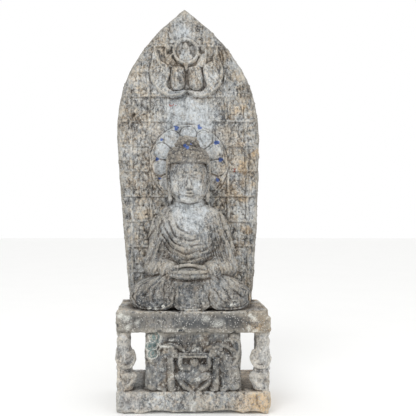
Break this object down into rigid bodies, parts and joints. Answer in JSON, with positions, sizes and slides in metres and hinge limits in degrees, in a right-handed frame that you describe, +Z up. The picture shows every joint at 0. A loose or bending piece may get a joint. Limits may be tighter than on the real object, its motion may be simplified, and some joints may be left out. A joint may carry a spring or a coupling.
{
  "type": "limestone buddha stele",
  "caption": "Carved limestone stele: a seated Buddha before a halo on a leaf-shaped slab of niches, standing on a pedestal with lions and kneeling supporters.",
  "frame": {"origin": "centre of the pedestal's underside, where it rests on the ground", "axes": "+Z up; +X to the viewer's right; the figure faces -Y"},
  "size_m": [0.4472, 0.2418, 1.1994],
  "materials": {
    "weathered_limestone": "weathered, pitted grey limestone with lichen and traces of blue paint",
    "pale_limestone": "weathered, pitted pale grey limestone with ochre stains and traces of teal paint"
  },
  "bodies": {
    "root": {"stele": "weathered_limestone", "pedestal": "pale_limestone"}
  },
  "joints": []
}
